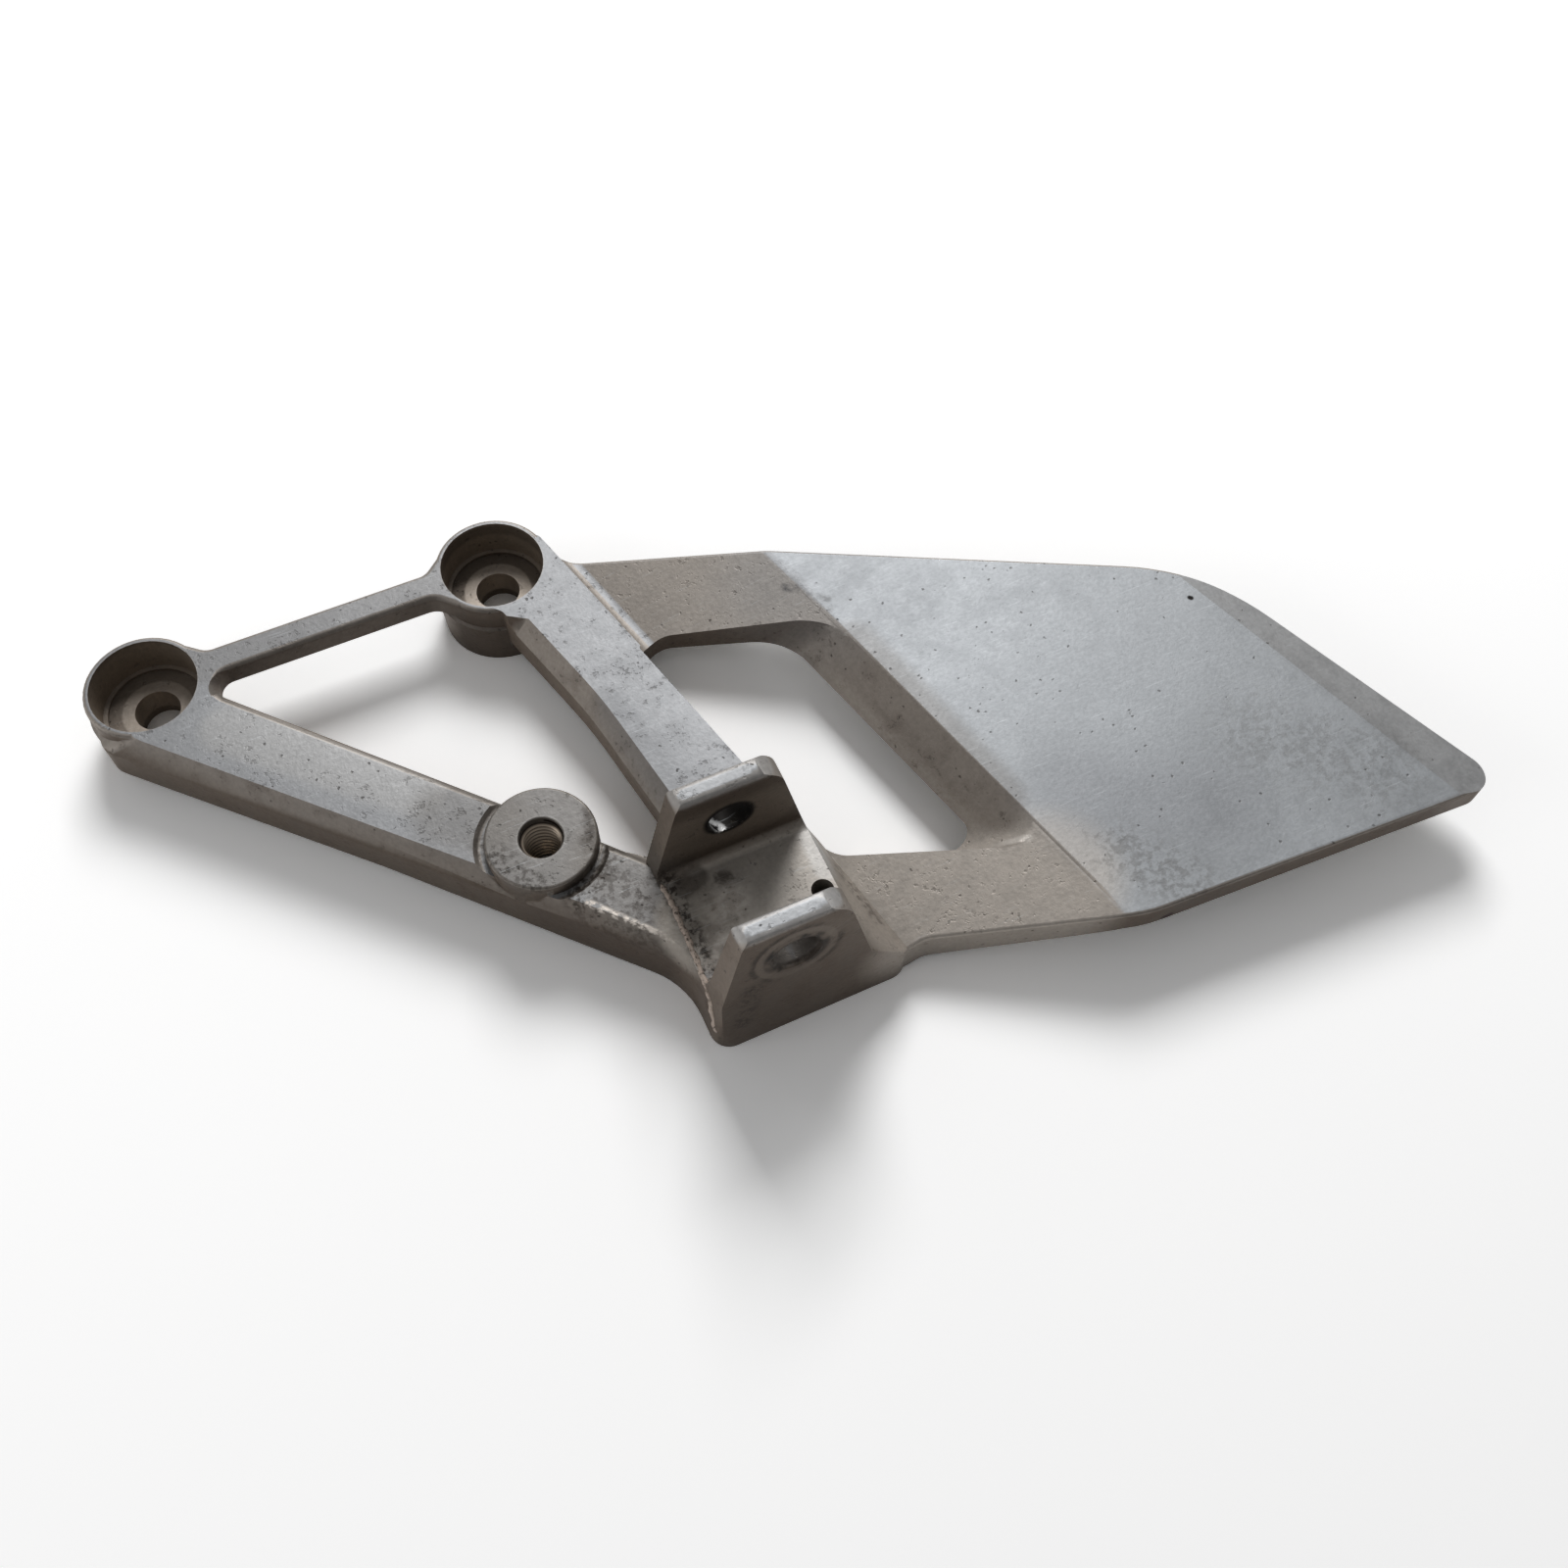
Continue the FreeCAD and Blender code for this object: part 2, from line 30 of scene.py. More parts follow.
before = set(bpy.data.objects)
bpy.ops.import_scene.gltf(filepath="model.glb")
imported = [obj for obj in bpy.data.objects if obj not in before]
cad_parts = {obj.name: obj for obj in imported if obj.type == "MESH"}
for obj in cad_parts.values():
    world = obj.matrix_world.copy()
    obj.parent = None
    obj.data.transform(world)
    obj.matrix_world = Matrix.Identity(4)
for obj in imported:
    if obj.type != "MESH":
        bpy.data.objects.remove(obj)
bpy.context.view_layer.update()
mm = 0.001


# Meshes

def meshFromGrid(name, points, closed=False):
    # points is an array (rows, columns, 3); each cell between neighbours becomes one quad,
    # and closed joins the last column to the first
    rows, columns = points.shape[:2]
    i, j = np.meshgrid(np.arange(rows - 1), np.arange(columns if closed else columns - 1), indexing="ij")
    nextJ = (j + 1) % columns
    faces = np.stack([i * columns + j, (i + 1) * columns + j,
                      (i + 1) * columns + nextJ, i * columns + nextJ], axis=-1).reshape(-1, 4)
    mesh = bpy.data.meshes.new(name)
    mesh.from_pydata(points.reshape(-1, 3).tolist(), [], faces.tolist())
    mesh.update()
    piece = bpy.data.objects.new(name, mesh)
    bpy.context.scene.collection.objects.link(piece)
    return piece


def smoothShade(piece):
    piece.data.polygons.foreach_set("use_smooth", np.ones(len(piece.data.polygons), dtype=bool))


# Nodes; a colour Mix takes its share at 0 and its two colours at 6 and 7, and gives the result at output 2

def linearColour(hexText):
    # sRGB hex to the linear values that the shader sockets take
    parts = [int(hexText[k:k + 2], 16) / 255.0 for k in (1, 3, 5)]
    return tuple(v / 12.92 if v <= 0.04045 else ((v + 0.055) / 1.055) ** 2.4 for v in parts) + (1.0,)


def addNode(tree, kind, settings, links, output=0):
    # adds one node with its settings, fills its sockets with values or links, hands back one output
    node = tree.nodes.new("ShaderNode" + kind)
    for key, value in settings.items():
        setattr(node, key, value)
    for key, value in links.items():
        if isinstance(value, bpy.types.NodeSocket):
            tree.links.new(value, node.inputs[key])
        else:
            node.inputs[key].default_value = value
    return node.outputs[output] if len(node.outputs) else node


def newMaterial(name):
    material = bpy.data.materials.new(name)
    material.use_nodes = True
    material.node_tree.nodes.clear()
    return material, material.node_tree


# Cast aluminium, gravity cast and left as it came from the mould: matt and grey on the tops, the side
# walls browner and darker as painted shade, with gas pits, painted shade and old road grime in the
# corners and bright metal where it has been knocked.
castLook = {
    "plate": "#a6a9ac",
    "bar": "#9a9b9d",
    # the arm and wall colours carry painted shade: sloped arms and upright walls darker than level tops
    "arm": "#a39c95",
    "flank": "#a39b93",
    "wall": "#776a5e",
    "under": "#8f8d89",
    "noises": {                            # size in mm and detail
        "mottle": (24.0, 3.0),
        "blotch": (4.5, 5.0),
        "speckle": (1.28, 3.0),
        "grain": (0.8, 3.0),
    },
    # in all that follows, At gives the values of a noise or a turn where something starts and is full
    "shades": {"mottle": 0.30, "blotch": 0.46, "speckle": 0.26, "grain": 0.40},
    "patternAt": (0.44, 0.58),
    "stain": "#4a3d33",
    "stainAt": (0.50, 0.66),
    "stainShare": 0.2,
    "scratch": "#cfd3d6",
    "scratchTurns": (0.9, -0.5),
    "scratchScale": (0.14, 3.4, 0.14),     # per mm along and across the scratches
    "scratchAt": (0.66, 0.78),
    "scratchShare": 0.3,
    # painted shade with grime: corners darken by how little of the sky is open around them
    "shadeAndGrime": "#2b241e",
    "shadeAndGrimeReachMm": 5.0,
    "shadeAndGrimeAt": (0.8, 0.15),                # share of the sky that is open
    "shadeAndGrimeShare": 0.34,
    "worn": "#d4d3d0",
    "wornAt": (0.40, 0.62),
    "wornShares": (0.05, 0.75),
    "pit": "#3a342e",
    "pitSpacingMm": 1.1,
    "pitWobble": (1.6, 0.7),               # how fine and how far the outlines waver, in spacings
    "pitEdge": (0.30, 0.12),               # from a cell's middle, in spacings
    "pitsAt": (0.45, 0.7),
    "pitDensity": (0.02, 0.14),
    "pitShare": 0.65,
    # specks: which noise, where it starts and is full, and the same for the blotches that gather them
    "flecks": (("grain", 0.54, 0.64, 0.56, 0.66), ("speckle", 0.57, 0.67, 0.47, 0.60)),
    "fleckShares": (0.62, 0.18),           # on the bars and arms, on the plate
    "reliefs": (0.45, 0.24),               # strength of the bump, in the same order
    "reliefMm": 0.12,
    "blotchHeight": 0.8,
    "pitHeight": -2.0,
    "roughness": 0.44,
    "roughnessSpread": 0.25,
    "metallic": 0.75,
    # how far up the surface has to face to count as under, wall or slope, top, and level
    "underAt": (-0.3, -0.8),
    "flankAt": (0.1, 0.55),
    "topAt": (0.80, 0.96),
    "levelAt": (0.976, 0.992),
    # the front shade is painted shade: walls facing the front, away from the key lamp, coloured darker
    "frontAt": (-0.32, -0.55),             # walls that face the front are darker
    "frontShade": 0.66,
    "creaseAcross": (0.974, 0.227, 0.0),   # level direction that crosses the crease between arms and plate
    "creaseFromMm": 116.5,
    "creaseToMm": 118.2,
    "creaseRaggedMm": 5.0,
}

# Places with a colour of their own: from and to in mm, full within the inner reach, gone at the outer one,
# clear inside the hollow; pattern says what breaks the colour up.
castMarks = [
    # tie bar; painted light on the shaded inner walls of the lugs; lug floors
    {"from": (12, 1, 15), "to": (58, 1, 15), "reach": (4, 7), "colour": "#726d68", "share": 0.3},
    {"from": (0, 0, 5), "to": (0, 0, 14), "reach": (10.1, 10.6), "colour": "#b0a292", "share": 0.7},
    {"from": (70, 0, 5), "to": (70, 0, 14), "reach": (10.1, 10.6), "colour": "#b0a292", "share": 0.7},
    {"from": (0, 0, 7), "to": (0, 0, 7.6), "reach": (9.2, 9.5), "hollow": 6.8, "colour": "#5d534a",
     "share": 0.6},
    {"from": (70, 0, 7), "to": (70, 0, 7.6), "reach": (9.2, 9.5), "hollow": 6.8, "colour": "#51473e",
     "share": 0.7},
    # long bar: paler middle, dull before the boss and at the right end, speckled painted shade in the
    # hollow round the foot of the boss
    {"from": (12, -16, 18), "to": (40, -43, 18), "reach": (4, 7), "colour": "#bab8b5", "share": 0.35},
    {"from": (44, -50, 17), "to": (50, -55, 17), "reach": (4, 10), "colour": "#77736f", "share": 0.5},
    {"from": (68, -72, 16), "to": (73, -84, 16), "reach": (5, 12), "colour": "#7a756f", "share": 0.6},
    {"from": (47, -58, 14), "to": (52, -75, 14), "reach": (1, 4), "colour": "#4b433b", "share": 0.5,
     "pattern": "speckle"},
    {"from": (60, -74, 15), "to": (67, -69, 15), "reach": (1, 4.5), "colour": "#3d362f", "share": 0.7,
     "pattern": "speckle"},
    # between boss and fork: speckled with grime on top, brown below, a bright knocked edge with a painted
    # highlight along it
    {"from": (64, -78, 16), "to": (73, -86, 15), "reach": (6, 10), "colour": "#352d27", "share": 0.5,
     "pattern": "speckle"},
    {"from": (52, -78, 8), "to": (71, -98, 6), "reach": (5, 10), "colour": "#493a30", "share": 0.35},
    {"from": (60.4, -76.6, 15.6), "to": (72.4, -90.6, 15.6), "reach": (0.35, 1.0), "colour": "#ded6cd",
     "share": 0.9, "pattern": "speckle"},
    # dull lower half of the middle bar, painted shade on the outside of the second lug, which faces the
    # front
    {"from": (77, -42, 20), "to": (83, -68, 20), "reach": (5, 9), "colour": "#7d7e80", "share": 0.4},
    {"from": (70, 0, -2), "to": (70, 0, 8), "reach": (12.3, 12.8), "hollow": 11.2, "colour": "#4d443c",
     "share": 0.5},
    # boss: dull turned top, pitted towards the rim, a bright cut ring with a painted highlight at the mouth
    # of the thread
    {"from": (57.2, -62.2, 18), "to": (57.2, -62.2, 19), "reach": (9.8, 10.8), "colour": "#7b7670",
     "share": 0.65},
    {"from": (48.5, -62, 18), "to": (53, -70.5, 18), "reach": (0.8, 3.8), "colour": "#332d27", "share": 0.6,
     "pattern": "speckle"},
    {"from": (64.5, -67, 18), "to": (66.5, -61, 18), "reach": (0.3, 2.5), "colour": "#3d3630", "share": 0.7,
     "pattern": "blotch"},
    {"from": (57.2, -62.2, 17.7), "to": (57.2, -62.2, 18.2), "reach": (4.3, 4.6), "hollow": 3.9,
     "colour": "#c5c5c3", "share": 0.15},
    # fork: painted light on the shaded inner face of the rear ear and on the floor below it, dark patches
    # on the floor, grime along the seam
    {"from": (80, -79.4, 27), "to": (95, -79.4, 27), "reach": (5, 9), "colour": "#8f8478", "share": 0.5},
    {"from": (80, -89, 16), "to": (101, -89, 16), "reach": (9, 12), "colour": "#b3aca3", "share": 0.8},
    {"from": (77.2, -81, 16), "to": (79.8, -80, 16), "reach": (1.6, 2.8), "colour": "#423b34",
     "share": 0.6},
    {"from": (78, -84, 16), "to": (83, -97, 16), "reach": (4, 11), "colour": "#4a4037", "share": 0.4,
     "pattern": "blotch"},
    {"from": (74.9, -78, 16), "to": (74.7, -99, 16), "reach": (0.5, 2.9), "colour": "#2c251f",
     "share": 0.85, "pattern": "speckle"},
    {"from": (82, -81.5, 16), "to": (86, -82.5, 16), "reach": (0.3, 2.2), "colour": "#3a332c",
     "share": 0.7, "pattern": "blotch"},
    # front ear: rings that the pin's washer left, pits on the left, painted shade on the lower front face
    # and inside the bore
    {"from": (87.6, -112, 28.5), "to": (87.6, -103, 28.5), "reach": (4.6, 5.4), "hollow": 4.2,
     "colour": "#1d1814", "share": 0.6},
    {"from": (87.6, -112, 28.5), "to": (87.6, -103, 28.5), "reach": (5.4, 7.0), "hollow": 4.2,
     "colour": "#1d1814", "share": 0.95, "pattern": "blotch"},
    {"from": (87.6, -112, 28.5), "to": (87.6, -103, 28.5), "reach": (7.4, 8.0), "hollow": 6.2,
     "colour": "#8a8178", "share": 0.22},
    {"from": (87.6, -112, 28.5), "to": (87.6, -103, 28.5), "reach": (8.3, 9.2), "hollow": 7.7,
     "colour": "#2a241e", "share": 0.7, "pattern": "blotch"},
    {"from": (79.4, -106, 21), "to": (77.4, -106.4, 9), "reach": (0.5, 3.6), "colour": "#211b16",
     "share": 0.8, "pattern": "grain"},
    {"from": (80, -105, 12), "to": (96, -105, 20), "reach": (7, 12), "colour": "#4a3f36", "share": 0.3},
    {"from": (87.6, -106.5, 28.5), "to": (87.6, -98, 28.5), "reach": (4.2, 4.5), "colour": "#55524f",
     "share": 0.6},
    # rear ear: painted shade, black, inside the bore, with a painted white glint
    {"from": (87.6, -79, 28.5), "to": (87.6, -71, 28.5), "reach": (4.4, 5.4), "colour": "#110e0b",
     "share": 1.0},
    {"from": (86.4, -77.5, 25.4), "to": (85.4, -75, 26.4), "reach": (0.6, 1.8), "colour": "#f4f4f4",
     "share": 1.0, "pattern": "speckle"},
    # bright worn tops of the ears with a painted highlight along them, painted light on the facet beside
    # the spring hole
    {"from": (80, -101.6, 39), "to": (95, -101.6, 39), "reach": (2.4, 3.6), "colour": "#d3d6d9",
     "share": 0.4},
    {"from": (80, -74.8, 39), "to": (95, -74.8, 39), "reach": (2.2, 3.4), "colour": "#c6c8ca",
     "share": 0.35},
    {"from": (102.4, -81.5, 15.5), "to": (102.2, -88, 15.5), "reach": (1.8, 3.4), "colour": "#c9c7c4",
     "share": 0.7},
    # lower arm: painted light beside the fork, speckled at its root; window: painted shade on the plate
    # side and a bright worn lower edge with a painted highlight; upper arm: two smears
    {"from": (112, -97, 9), "to": (138, -106, 14), "reach": (9, 17), "colour": "#c6beb5", "share": 0.55},
    {"from": (104, -88, 10), "to": (106, -98, 9), "reach": (0.5, 4), "colour": "#3b332c", "share": 0.7,
     "pattern": "speckle"},
    {"from": (128, -46, 13), "to": (138, -88, 13), "reach": (4, 7), "colour": "#726a62", "share": 0.4},
    {"from": (128.5, -91.6, 9.6), "to": (138.6, -97.4, 15), "reach": (0.35, 1.2), "colour": "#d8d2cb",
     "share": 0.7},
    {"from": (121, -28.4, 15.6), "to": (123.8, -30.4, 16), "reach": (0.4, 1.3), "colour": "#231e1a",
     "share": 0.9, "pattern": "blotch"},
    {"from": (124.6, -32.6, 16), "to": (127.6, -34.8, 16), "reach": (0.3, 1.2), "colour": "#4c4a48",
     "share": 0.6, "pattern": "blotch"},
    # plate: painted shade dimming the upper corner, speckled right end, dull cloud and dark specks low
    # down, dull rim, one black speck near the upper edge and one deep pit in the lower edge
    {"from": (122, -26, 16), "to": (134, -34, 16), "reach": (4, 22), "colour": "#8b8d90", "share": 0.35},
    {"from": (188, -96, 16), "to": (206, -112, 16), "reach": (2, 16), "colour": "#6f6e6d", "share": 0.35,
     "pattern": "speckle"},
    {"from": (152, -94, 16), "to": (172, -106, 16), "reach": (2, 18), "colour": "#85868a", "share": 0.4},
    {"from": (152, -107, 16), "to": (160, -117, 16), "reach": (2, 10), "colour": "#5b5753", "share": 0.4,
     "pattern": "speckle"},
    {"from": (203, -79.5, 16), "to": (213.6, -112, 16), "reach": (0.4, 3.2), "colour": "#74716e",
     "share": 0.12},
    {"from": (193.7, -63.9, 16), "to": (193.9, -64.1, 16), "reach": (0.3, 0.7), "colour": "#15120f",
     "share": 1.0},
    {"from": (154.8, -120.1, 11.2), "to": (155.8, -120.1, 11.4), "reach": (0.4, 1.1), "colour": "#2c1812",
     "share": 1.0},
]


def nearStroke(tree, place, mark):
    # the mark's share within the inner reach of the line between its two points, falling to nothing at the
    # outer reach; a mark with a hollow is also clear close to the line
    start = np.array(mark["from"], dtype=float)
    run = np.array(mark["to"], dtype=float) - start
    away = addNode(tree, "VectorMath", {"operation": "SUBTRACT"}, {0: place, 1: tuple(start)})
    along = addNode(tree, "VectorMath", {"operation": "DOT_PRODUCT"},
                    {0: away, 1: tuple(run / np.dot(run, run))}, 1)
    along = addNode(tree, "Math", {"operation": "MULTIPLY", "use_clamp": True}, {0: along, 1: 1.0})
    foot = addNode(tree, "VectorMath", {"operation": "SCALE"}, {0: tuple(run), "Scale": along})
    distance = addNode(tree, "VectorMath", {"operation": "DISTANCE"}, {0: away, 1: foot}, 1)
    inner, outer = mark["reach"]
    near = addNode(tree, "MapRange", {"interpolation_type": "SMOOTHSTEP"},
                   {"Value": distance, "From Min": inner, "From Max": outer,
                    "To Min": mark["share"], "To Max": 0.0})
    if "hollow" in mark:
        soft = 0.3   # mm on each side of the hollow's edge
        clear = addNode(tree, "MapRange", {"interpolation_type": "SMOOTHSTEP"},
                        {"Value": distance, "From Min": mark["hollow"] - soft,
                         "From Max": mark["hollow"] + soft})
        near = addNode(tree, "Math", {"operation": "MULTIPLY"}, {0: near, 1: clear})
    return near


def finePits(tree, place, density):
    # small scattered cells, their outlines pushed about by noise; a cell is a pit where its random number
    # is under the density
    spacing = castLook["pitSpacingMm"]
    fineness, push = castLook["pitWobble"]
    rim, full = castLook["pitEdge"]
    wobble = addNode(tree, "TexNoise", {}, {"Vector": place, "Scale": fineness / spacing, "Detail": 2.0}, 1)
    wobble = addNode(tree, "VectorMath", {"operation": "SCALE"}, {0: wobble, "Scale": spacing * push})
    rough = addNode(tree, "VectorMath", {"operation": "ADD"}, {0: place, 1: wobble})
    cells = {"Vector": rough, "Scale": 1.0 / spacing}
    distance = addNode(tree, "TexVoronoi", {}, cells)
    random = addNode(tree, "TexVoronoi", {}, cells, 1)
    random = addNode(tree, "SeparateColor", {}, {"Color": random})
    chosen = addNode(tree, "Math", {"operation": "LESS_THAN"}, {0: random, 1: density})
    depth = addNode(tree, "MapRange", {}, {"Value": distance, "From Min": rim, "From Max": full})
    return addNode(tree, "Math", {"operation": "MULTIPLY"}, {0: depth, 1: chosen})


def castAluminium(name, worn):
    look = castLook
    material, tree = newMaterial(name)
    place = addNode(tree, "TexCoord", {}, {}, "Object")
    place = addNode(tree, "VectorMath", {"operation": "SCALE"}, {0: place, "Scale": 1000.0})
    normal = addNode(tree, "NewGeometry", {}, {}, "Normal")
    upward = addNode(tree, "SeparateXYZ", {}, {"Vector": normal}, "Z")
    noises = {}
    for key, (size, detail) in look["noises"].items():
        noises[key] = addNode(tree, "TexNoise", {}, {"Vector": place, "Scale": 1.0 / size, "Detail": detail,
                                                     "Roughness": 0.6})

    # facing: walls, slopes, tops and the hidden back, with the plate cooler than the bars and arms;
    # painted shade darkens the upright walls, the sloped arms and the faces towards the front
    across = addNode(tree, "VectorMath", {"operation": "DOT_PRODUCT"},
                     {0: place, 1: look["creaseAcross"]}, 1)
    across = addNode(tree, "Math", {"operation": "MULTIPLY_ADD"},
                     {0: noises["speckle"], 1: look["creaseRaggedMm"], 2: across})
    isPlate = addNode(tree, "MapRange", {}, {"Value": across, "From Min": look["creaseFromMm"],
                                             "From Max": look["creaseToMm"]})
    facing = {}
    for key in ("under", "flank", "top"):
        facing[key] = addNode(tree, "MapRange", {"interpolation_type": "SMOOTHSTEP"},
                              {"Value": upward, "From Min": look[key + "At"][0],
                               "From Max": look[key + "At"][1]})
    isLevel = addNode(tree, "MapRange", {}, {"Value": upward, "From Min": look["levelAt"][0],
                                             "From Max": look["levelAt"][1]})
    top = addNode(tree, "Mix", {"data_type": "RGBA"},
                  {0: isPlate, 6: linearColour(look["bar"]), 7: linearColour(look["plate"])}, 2)
    top = addNode(tree, "Mix", {"data_type": "RGBA"},
                  {0: isLevel, 6: linearColour(look["arm"]), 7: top}, 2)
    base = addNode(tree, "Mix", {"data_type": "RGBA"},
                   {0: facing["flank"], 6: linearColour(look["wall"]), 7: linearColour(look["flank"])}, 2)
    facingFront = addNode(tree, "SeparateXYZ", {}, {"Vector": normal}, "Y")
    front = addNode(tree, "MapRange", {}, {"Value": facingFront, "From Min": look["frontAt"][0],
                                           "From Max": look["frontAt"][1],
                                           "To Min": 1.0, "To Max": look["frontShade"]})
    base = addNode(tree, "VectorMath", {"operation": "SCALE"}, {0: base, "Scale": front})
    stain = addNode(tree, "MapRange", {}, {"Value": noises["blotch"], "From Min": look["stainAt"][0],
                                           "From Max": look["stainAt"][1], "To Max": look["stainShare"]})
    base = addNode(tree, "Mix", {"data_type": "RGBA"},
                   {0: stain, 6: base, 7: linearColour(look["stain"])}, 2)
    base = addNode(tree, "Mix", {"data_type": "RGBA"}, {0: facing["top"], 6: base, 7: top}, 2)
    base = addNode(tree, "Mix", {"data_type": "RGBA"},
                   {0: facing["under"], 6: base, 7: linearColour(look["under"])}, 2)

    # marks that belong to one place each
    for mark in castMarks:
        share = nearStroke(tree, place, mark)
        if "pattern" in mark:
            broken = addNode(tree, "MapRange", {}, {"Value": noises[mark["pattern"]],
                                                    "From Min": look["patternAt"][0],
                                                    "From Max": look["patternAt"][1]})
            share = addNode(tree, "Math", {"operation": "MULTIPLY"}, {0: share, 1: broken})
        base = addNode(tree, "Mix", {"data_type": "RGBA"},
                       {0: share, 6: base, 7: linearColour(mark["colour"])}, 2)

    # shade from each size of noise, lighter and darker by half its strength
    for key, strength in look["shades"].items():
        shade = addNode(tree, "Math", {"operation": "MULTIPLY_ADD"},
                        {0: noises[key], 1: strength, 2: 1.0 - strength / 2.0})
        base = addNode(tree, "VectorMath", {"operation": "SCALE"}, {0: base, "Scale": shade})

    # gas pits: single fine ones everywhere, and clumps of specks and flecks where the blotches are strong
    fewest, most = look["pitDensity"]
    density = addNode(tree, "MapRange", {}, {"Value": noises["mottle"], "From Min": look["pitsAt"][0],
                                             "From Max": look["pitsAt"][1],
                                             "To Min": fewest, "To Max": most})
    pits = finePits(tree, place, density)
    barShare, plateShare = look["fleckShares"]
    fleckShare = addNode(tree, "MapRange", {}, {"Value": isPlate, "To Min": barShare, "To Max": plateShare})
    for key, low, high, clumpLow, clumpHigh in look["flecks"]:
        specks = addNode(tree, "MapRange", {}, {"Value": noises[key], "From Min": low, "From Max": high})
        clump = addNode(tree, "MapRange", {}, {"Value": noises["blotch"], "From Min": clumpLow,
                                               "From Max": clumpHigh})
        specks = addNode(tree, "Math", {"operation": "MULTIPLY"}, {0: specks, 1: clump})
        specks = addNode(tree, "Math", {"operation": "MULTIPLY"}, {0: specks, 1: fleckShare})
        pits = addNode(tree, "Math", {"operation": "MAXIMUM"}, {0: pits, 1: specks})
    pitShare = addNode(tree, "Math", {"operation": "MULTIPLY"}, {0: pits, 1: look["pitShare"]})
    base = addNode(tree, "Mix", {"data_type": "RGBA"},
                   {0: pitShare, 6: base, 7: linearColour(look["pit"])}, 2)

    # scratches: noise drawn out long along two directions, only on the tops
    for turn in look["scratchTurns"]:
        drawn = addNode(tree, "Mapping", {}, {"Vector": place, "Rotation": (0.0, 0.0, turn),
                                              "Scale": look["scratchScale"]})
        line = addNode(tree, "TexNoise", {}, {"Vector": drawn, "Scale": 1.0, "Detail": 2.0})
        line = addNode(tree, "MapRange", {}, {"Value": line, "From Min": look["scratchAt"][0],
                                              "From Max": look["scratchAt"][1],
                                              "To Max": look["scratchShare"]})
        line = addNode(tree, "Math", {"operation": "MULTIPLY"}, {0: line, 1: facing["top"]})
        base = addNode(tree, "Mix", {"data_type": "RGBA"},
                       {0: line, 6: base, 7: linearColour(look["scratch"])}, 2)

    # painted shade and grime in the corners, bare metal on the knocked edges
    openness = addNode(tree, "AmbientOcclusion", {"samples": 6},
                       {"Distance": look["shadeAndGrimeReachMm"] * mm}, "AO")
    cornerShadeAndGrime = addNode(tree, "MapRange", {}, {"Value": openness, "From Min": look["shadeAndGrimeAt"][0],
                                            "From Max": look["shadeAndGrimeAt"][1], "To Max": look["shadeAndGrimeShare"]})
    base = addNode(tree, "Mix", {"data_type": "RGBA"},
                   {0: cornerShadeAndGrime, 6: base, 7: linearColour(look["shadeAndGrime"])}, 2)
    if worn:
        least, most = look["wornShares"]
        bare = addNode(tree, "MapRange", {}, {"Value": noises["blotch"], "From Min": look["wornAt"][0],
                                              "From Max": look["wornAt"][1],
                                              "To Min": least, "To Max": most})
        bare = addNode(tree, "Math", {"operation": "MULTIPLY"}, {0: bare, 1: facing["flank"]})
        base = addNode(tree, "Mix", {"data_type": "RGBA"},
                       {0: bare, 6: base, 7: linearColour(look["worn"])}, 2)

    # gloss and relief
    roughness = addNode(tree, "Math", {"operation": "MULTIPLY_ADD"},
                        {0: noises["blotch"], 1: look["roughnessSpread"], 2: look["roughness"]})
    height = addNode(tree, "Math", {"operation": "MULTIPLY_ADD"},
                     {0: noises["blotch"], 1: look["blotchHeight"], 2: noises["grain"]})
    height = addNode(tree, "Math", {"operation": "MULTIPLY_ADD"},
                     {0: pits, 1: look["pitHeight"], 2: height})
    barRelief, plateRelief = look["reliefs"]
    relief = addNode(tree, "MapRange", {}, {"Value": isPlate, "To Min": barRelief, "To Max": plateRelief})
    bump = addNode(tree, "Bump", {}, {"Strength": relief, "Distance": look["reliefMm"] * mm,
                                      "Height": height})
    shader = addNode(tree, "BsdfPrincipled", {}, {"Base Color": base, "Roughness": roughness,
                                                  "Metallic": look["metallic"], "Normal": bump})
    addNode(tree, "OutputMaterial", {}, {"Surface": shader})
    return material


# Casting

castingForm = {
    "mergeMm": 0.002,
    "edgeRoundMm": 0.35,
    "edgeSegments": 2,
    "edgeAngle": 20.0,      # outside corners between two wide faces are worn round past this turn
    "faintCrease": 9.0,     # other corners between two wide faces stay crisp past this turn
    "creaseAngle": 50.0,    # takes the place of both where a face is narrow
    "wideFaceMm": 3.2,
    "flatAngle": 0.6,
    "tieBulgeMm": 1.1,      # how far the back of the tie bar bows out between the lugs
    "tieEndsMm": (9.0, 61.0),
    "tieBackMm": (0.5, 6.0),
    "tieRampMm": 9.0,
    "hollowMiddleMm": (57.2, -62.2),
    "hollowReachMm": (10.3, 13.5),   # between the boss and the outer edge of the hollow round it
    "hollowLevelsMm": (14.3, 16.0),
    "hollowKeep": 0.5,
}


def reshapeSkin(mesh):
    # the back of the tie bar moves out by a bulge that rises over a ramp from each end and is level
    # between; the hollow round the boss keeps a share of its depth, measured down from the bar's top
    form = castingForm
    points = np.empty(len(mesh.vertices) * 3)
    mesh.vertices.foreach_get("co", points)
    points = points.reshape(-1, 3)
    x, y, z = (points[:, k] / mm for k in range(3))
    start, end = form["tieEndsMm"]
    low, high = form["tieBackMm"]
    onBack = (y > low) & (y < high)
    rise = np.clip(np.minimum(x - start, end - x) / form["tieRampMm"], 0.0, 1.0)
    points[:, 1] += form["tieBulgeMm"] * mm * rise * onBack
    away = np.hypot(x - form["hollowMiddleMm"][0], y - form["hollowMiddleMm"][1])
    inside, outside = form["hollowReachMm"]
    floor, brim = form["hollowLevelsMm"]
    inHollow = (away > inside) & (away < outside) & (z > floor) & (z < brim)
    points[:, 2] += (brim - z) * (1.0 - form["hollowKeep"]) * mm * inHollow
    mesh.vertices.foreach_set("co", points.ravel())
    mesh.update()


